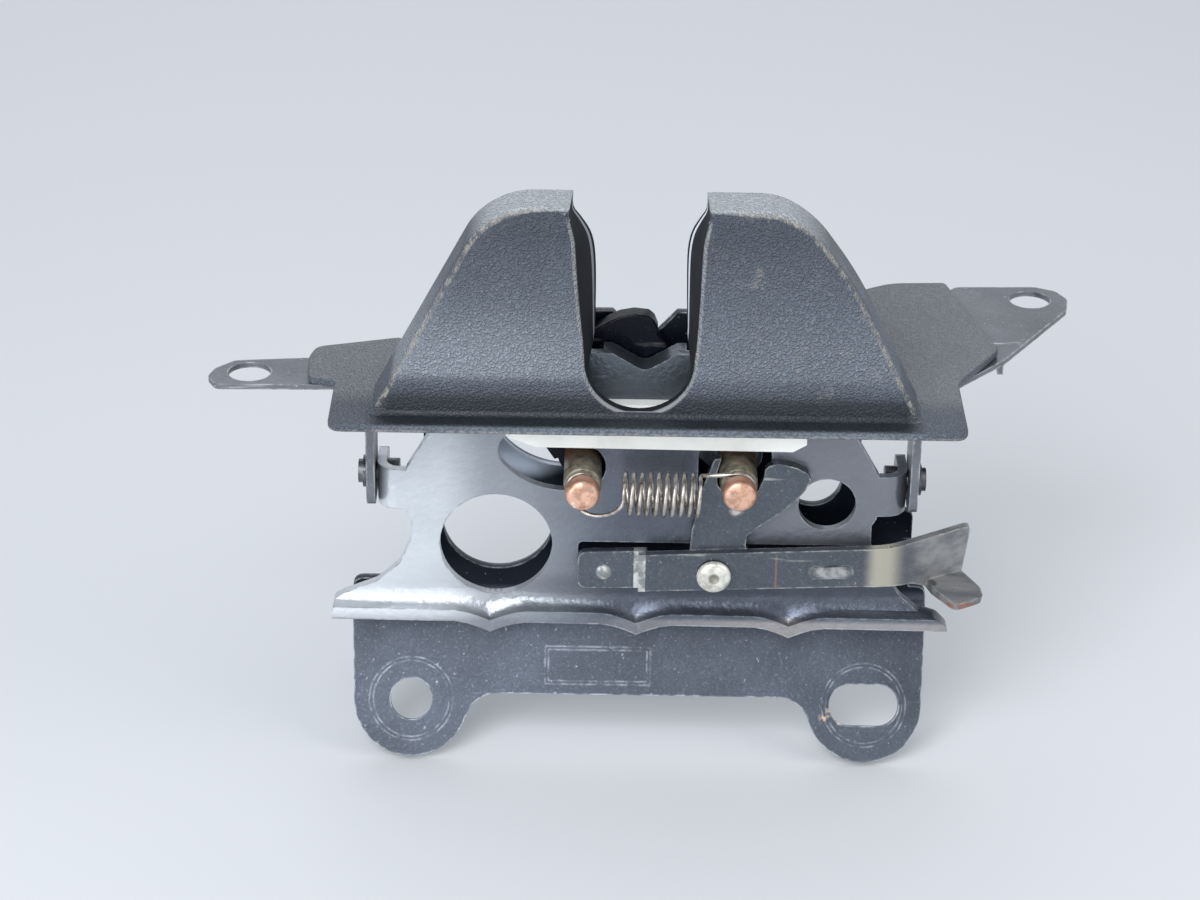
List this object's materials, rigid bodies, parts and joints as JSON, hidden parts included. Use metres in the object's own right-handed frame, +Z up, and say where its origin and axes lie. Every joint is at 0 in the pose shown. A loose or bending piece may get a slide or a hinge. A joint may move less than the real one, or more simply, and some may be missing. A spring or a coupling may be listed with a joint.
{
  "type": "seat latch",
  "caption": "Seat latch with a fork claw, a pawl, a release lever and a return spring between two plates, under a notched moulded cover with a leaning bolt flange below.",
  "frame": {"origin": "bottom of the striker throat on the front face of the front plate", "axes": "+X to the right seen from the front, +Y back through the plates, +Z up out of the throat"},
  "size_m": [0.1848, 0.0779, 0.1287],
  "materials": {
    "plate_steel": "dull zinc",
    "mechanism_steel": "hardened",
    "lever_steel": "zinc",
    "yellow_zinc": "yellow zinc with rust",
    "rivet_steel": "bright",
    "spring_steel": "drawn wire",
    "cream_nylon": "smooth",
    "grained_cover": "leather grain",
    "bracket_steel": "dull zinc"
  },
  "bodies": {
    "housing": {"front_plate": "plate_steel", "back_plate": "plate_steel", "buffer_strip": "cream_nylon", "claw_rivet": "rivet_steel", "pawl_rivet": "rivet_steel", "lever_rivet": "rivet_steel", "tension_spring": "spring_steel", "cover": "grained_cover", "bracket_left": "bracket_steel", "bracket_right": "bracket_steel", "side_rivet_left": "rivet_steel", "side_rivet_right": "rivet_steel"},
    "claw": {"claw": "mechanism_steel", "claw_stud": "yellow_zinc"},
    "pawl": {"pawl": "mechanism_steel", "pawl_stud": "yellow_zinc"},
    "lever": {"release_lever": "lever_steel"}
  },
  "joints": [
    {"name": "claw_turn", "type": "hinge", "parent": "housing", "child": "claw", "pos_m": [-0.016, 0.008, -0.011], "axis": [0, 1, 0], "range_deg": [0, 40], "stiffness_Nm_per_rad": 0.06, "springref_deg": -34.38, "deforming": ["tension_spring"]},
    {"name": "lever_turn", "type": "hinge", "parent": "housing", "child": "lever", "pos_m": [0.0153, -0.0032, -0.0455], "axis": [0, 1, 0], "range_deg": [0, 4], "stiffness_Nm_per_rad": 0.12, "springref_deg": -28.65},
    {"name": "pawl_turn", "type": "hinge", "parent": "housing", "child": "pawl", "pos_m": [0.016, 0.008, -0.011], "axis": [0, 1, 0], "range_deg": [-10.4, 0], "stiffness_Nm_per_rad": 0.03, "springref_deg": 28.65, "deforming": ["tension_spring"]}
  ],
  "couplings": [
    {"joint": "pawl_turn", "follows": "lever_turn", "ratio": -2.6}
  ]
}
